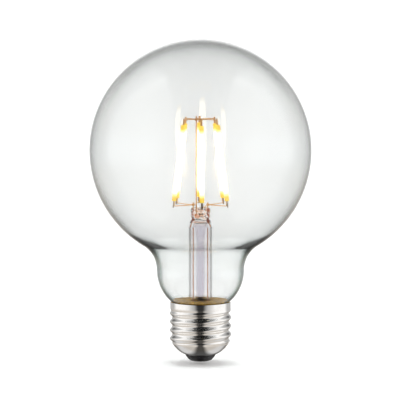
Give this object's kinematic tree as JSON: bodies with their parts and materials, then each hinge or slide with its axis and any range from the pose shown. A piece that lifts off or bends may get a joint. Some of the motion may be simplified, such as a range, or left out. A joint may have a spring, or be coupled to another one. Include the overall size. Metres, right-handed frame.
{
  "type": "led light bulb",
  "caption": "Clear glass globe bulb with a screw cap: LED filaments stand round a glass stem, held by wire arms.",
  "frame": {"origin": "centre of the flat end of the centre contact, the lowest point of the cap", "axes": "+Z along the bulb's axis, from the cap to the globe; the front of the stem faces -Y, +X to the right"},
  "size_m": [0.095, 0.095, 0.1382],
  "materials": {
    "clear_glass": "clear, thin and polished",
    "stem_glass": "clear, fire polished",
    "nickel_shell": "bright nickel plate over rolled sheet",
    "black_insulator": "smooth, black",
    "tinned_contact": "tinned, satin",
    "cement": "matt, grainy, golden brown",
    "white_plastic": "matt",
    "board_laminate": "green solder mask over laminate",
    "black_package": "matt moulded resin with tinned pins",
    "capacitor_sleeve": "shrunk sleeve",
    "resistor_coat": "lacquered",
    "copper_wire": "drawn copper",
    "seal_wire": "copper-clad, red where the glass wets it",
    "nickel_wire": "drawn nickel",
    "filament_coat": "soft phosphor coating, lit"
  },
  "bodies": {
    "root": {"cap_shell": "nickel_shell", "cap_insulator": "black_insulator", "centre_contact": "tinned_contact", "cap_cement": "cement", "driver_sleeve": "white_plastic", "driver_board": "board_laminate", "smoothing_capacitor": "capacitor_sleeve", "bridge_rectifier": "black_package", "driver_chip": "black_package", "fuse_resistor": "resistor_coat", "contact_wire": "copper_wire", "fuse_lead": "copper_wire", "shell_wire": "copper_wire", "glass_envelope": "clear_glass", "stem_glass": "stem_glass", "exhaust_tube": "stem_glass", "support_wire": "copper_wire", "top_spider": "nickel_wire", "left_bracket": "nickel_wire", "right_bracket": "nickel_wire", "left_outer_lead": "copper_wire", "left_seal_wire": "seal_wire", "left_inner_lead": "nickel_wire", "right_outer_lead": "copper_wire", "right_seal_wire": "seal_wire", "right_inner_lead": "nickel_wire", "filament_1": "filament_coat", "filament_1_bottom_tab": "nickel_wire", "filament_1_top_tab": "nickel_wire", "filament_2": "filament_coat", "filament_2_bottom_tab": "nickel_wire", "filament_2_top_tab": "nickel_wire", "filament_3": "filament_coat", "filament_3_bottom_tab": "nickel_wire", "filament_3_top_tab": "nickel_wire", "filament_4": "filament_coat", "filament_4_bottom_tab": "nickel_wire", "filament_4_top_tab": "nickel_wire", "filament_5": "filament_coat", "filament_5_bottom_tab": "nickel_wire", "filament_5_top_tab": "nickel_wire", "filament_6": "filament_coat", "filament_6_bottom_tab": "nickel_wire", "filament_6_top_tab": "nickel_wire"}
  },
  "joints": []
}
